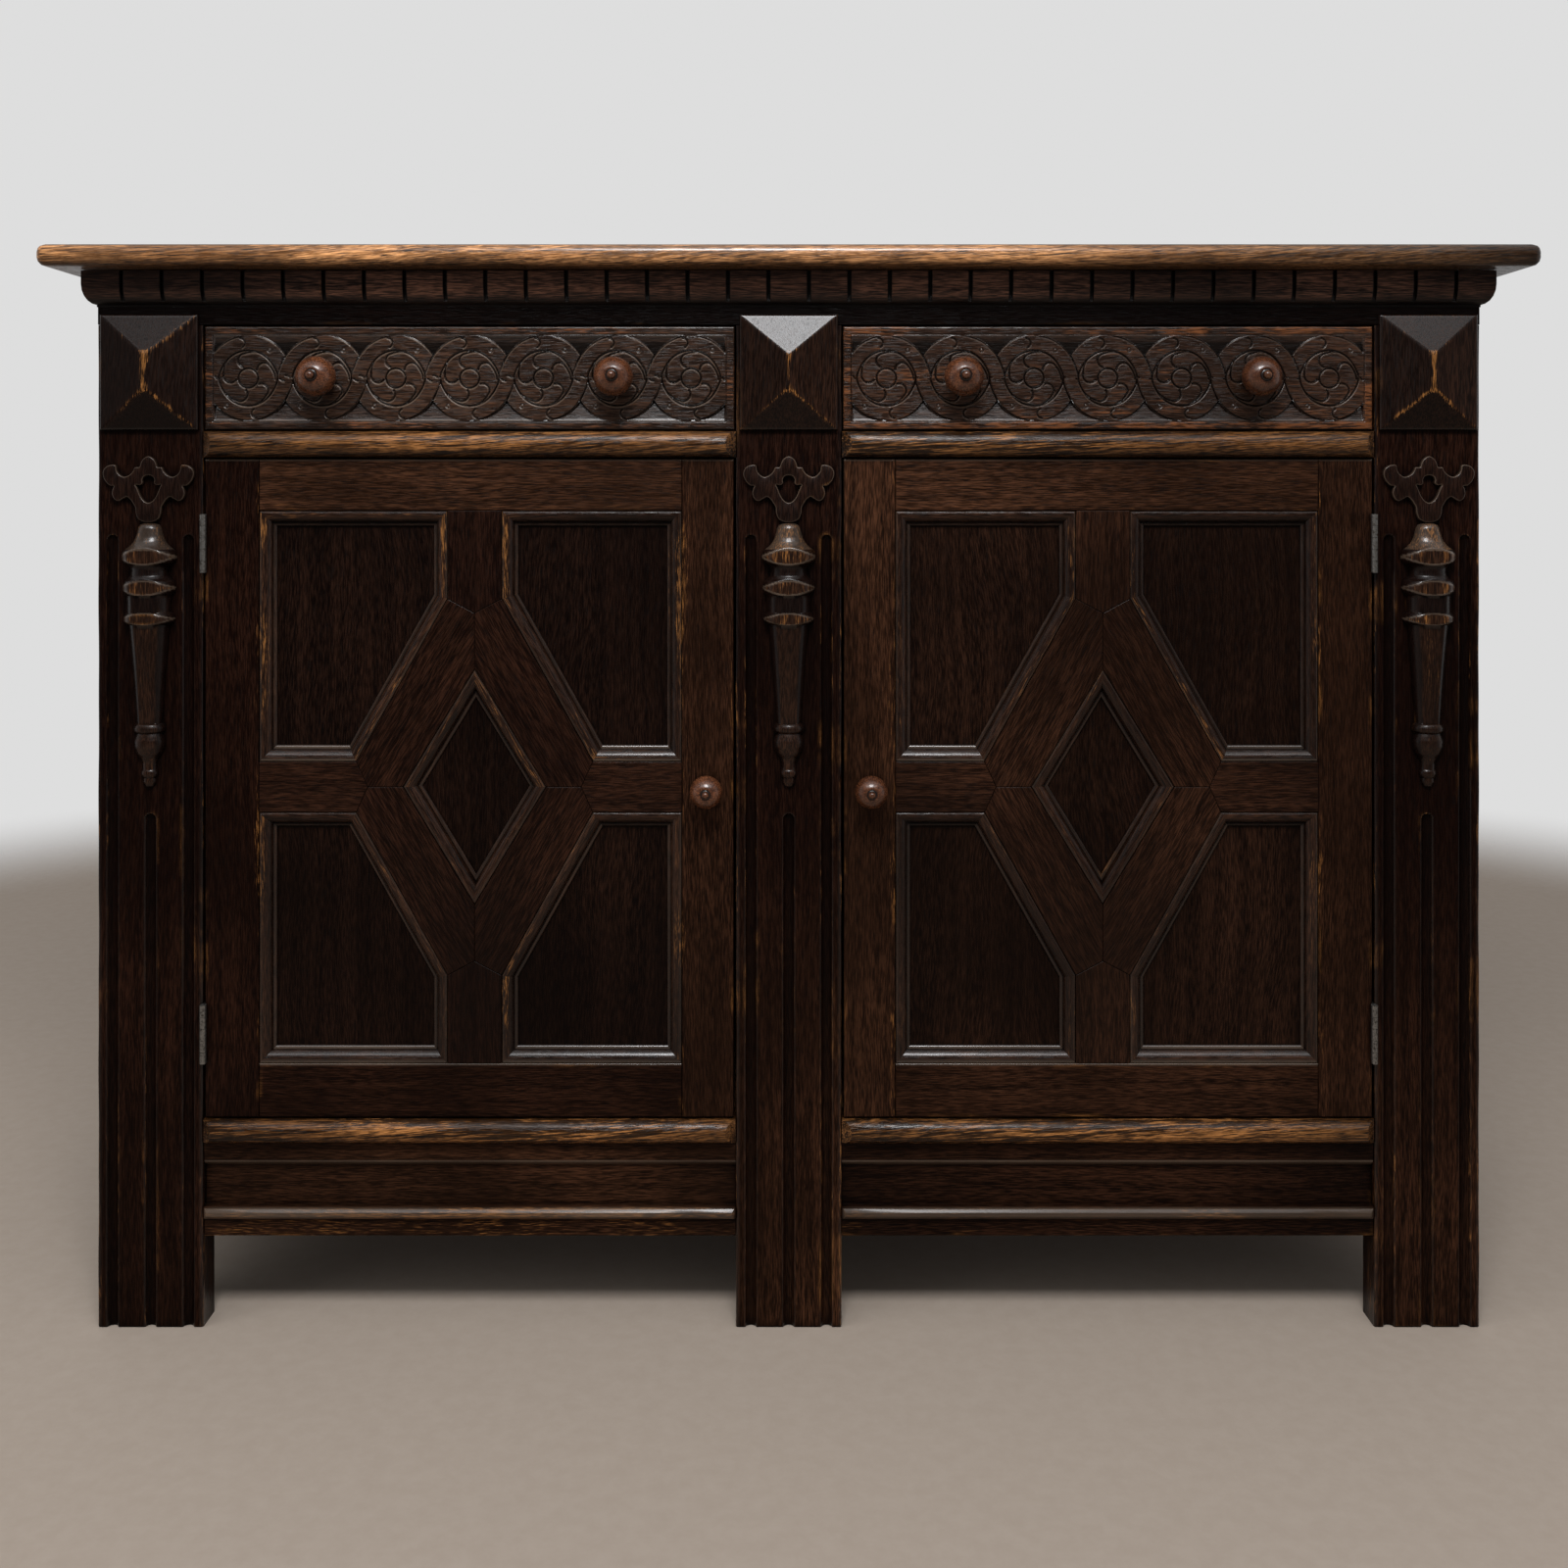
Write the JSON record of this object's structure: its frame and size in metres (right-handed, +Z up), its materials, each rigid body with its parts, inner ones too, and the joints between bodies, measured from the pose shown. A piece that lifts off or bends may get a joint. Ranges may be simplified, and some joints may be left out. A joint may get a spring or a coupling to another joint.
{
  "type": "sideboard",
  "caption": "Oak sideboard in the Jacobean manner: carved drawers over cupboards with diamond-panelled doors, fluted posts with split pendants, a gouged frieze and an overhanging top.",
  "frame": {"origin": "on the floor, under the middle of the whole piece", "axes": "+X along the front to the viewer's right, -Y out of the front, +Z up"},
  "size_m": [1.28, 0.483, 0.939],
  "materials": {
    "top_oak": "dark stained oak, polished, worn golden brown along the front edge",
    "frame_oak": "nearly black stained oak with a satin polish, rubbed brown on the edges",
    "moulding_oak": "dark stained oak with a satin polish, worn golden brown on the noses",
    "ornament_oak": "dark stained oak ornament, worn orange brown on its high parts",
    "carved_oak": "nearly black stained carved oak, darkest in its hollows",
    "panel_oak": "nearly black stained oak panel with open pores and a satin polish",
    "turned_oak": "reddish brown turned oak, polished by handling",
    "inner_oak": "plain unpolished oak, inside work",
    "hinge_steel": "dull grey tarnished steel"
  },
  "bodies": {
    "carcase": {"top_board": "top_oak", "frieze_moulding_front": "moulding_oak", "frieze_moulding_left": "moulding_oak", "frieze_moulding_right": "moulding_oak", "left_front_post": "frame_oak", "centre_front_post": "frame_oak", "right_front_post": "frame_oak", "left_rear_post": "frame_oak", "right_rear_post": "frame_oak", "head_rail": "frame_oak", "left_drawer_rail": "moulding_oak", "right_drawer_rail": "moulding_oak", "left_bottom_rail": "moulding_oak", "right_bottom_rail": "moulding_oak", "left_side_panel": "frame_oak", "right_side_panel": "frame_oak", "back_panel": "inner_oak", "partition": "inner_oak", "cupboard_floor": "inner_oak", "left_pyramid_block": "ornament_oak", "centre_pyramid_block": "ornament_oak", "right_pyramid_block": "ornament_oak", "left_crest": "ornament_oak", "centre_crest": "ornament_oak", "right_crest": "ornament_oak", "left_pendant": "ornament_oak", "centre_pendant": "ornament_oak", "right_pendant": "ornament_oak", "left_post_hinge_leaf_lower": "hinge_steel", "left_post_hinge_leaf_upper": "hinge_steel", "right_post_hinge_leaf_lower": "hinge_steel", "right_post_hinge_leaf_upper": "hinge_steel"},
    "left_drawer": {"left_drawer_front": "carved_oak", "left_drawer_box": "inner_oak", "left_drawer_bottom": "inner_oak", "left_drawer_knob_left": "turned_oak", "left_drawer_knob_right": "turned_oak"},
    "right_drawer": {"right_drawer_front": "carved_oak", "right_drawer_box": "inner_oak", "right_drawer_bottom": "inner_oak", "right_drawer_knob_left": "turned_oak", "right_drawer_knob_right": "turned_oak"},
    "left_door": {"left_door_hinge_stile": "frame_oak", "left_door_knob_stile": "frame_oak", "left_door_top_rail": "frame_oak", "left_door_bottom_rail": "frame_oak", "left_door_lattice": "frame_oak", "left_door_panel": "panel_oak", "left_door_knob": "turned_oak", "left_door_hinge_leaf_lower": "hinge_steel", "left_door_hinge_leaf_upper": "hinge_steel"},
    "right_door": {"right_door_hinge_stile": "frame_oak", "right_door_knob_stile": "frame_oak", "right_door_top_rail": "frame_oak", "right_door_bottom_rail": "frame_oak", "right_door_lattice": "frame_oak", "right_door_panel": "panel_oak", "right_door_knob": "turned_oak", "right_door_hinge_leaf_lower": "hinge_steel", "right_door_hinge_leaf_upper": "hinge_steel"}
  },
  "joints": [
    {"name": "left_drawer_slide", "type": "slide", "parent": "carcase", "child": "left_drawer", "axis": [0, -1, 0], "range_m": [0, 0.3]},
    {"name": "right_drawer_slide", "type": "slide", "parent": "carcase", "child": "right_drawer", "axis": [0, -1, 0], "range_m": [0, 0.3]},
    {"name": "left_door_hinge", "type": "hinge", "parent": "carcase", "child": "left_door", "pos_m": [-0.50925, -0.2016, 0.47], "axis": [0, 0, -1], "range_deg": [0, 150]},
    {"name": "right_door_hinge", "type": "hinge", "parent": "carcase", "child": "right_door", "pos_m": [0.50925, -0.2016, 0.47], "axis": [0, 0, 1], "range_deg": [0, 150]}
  ]
}
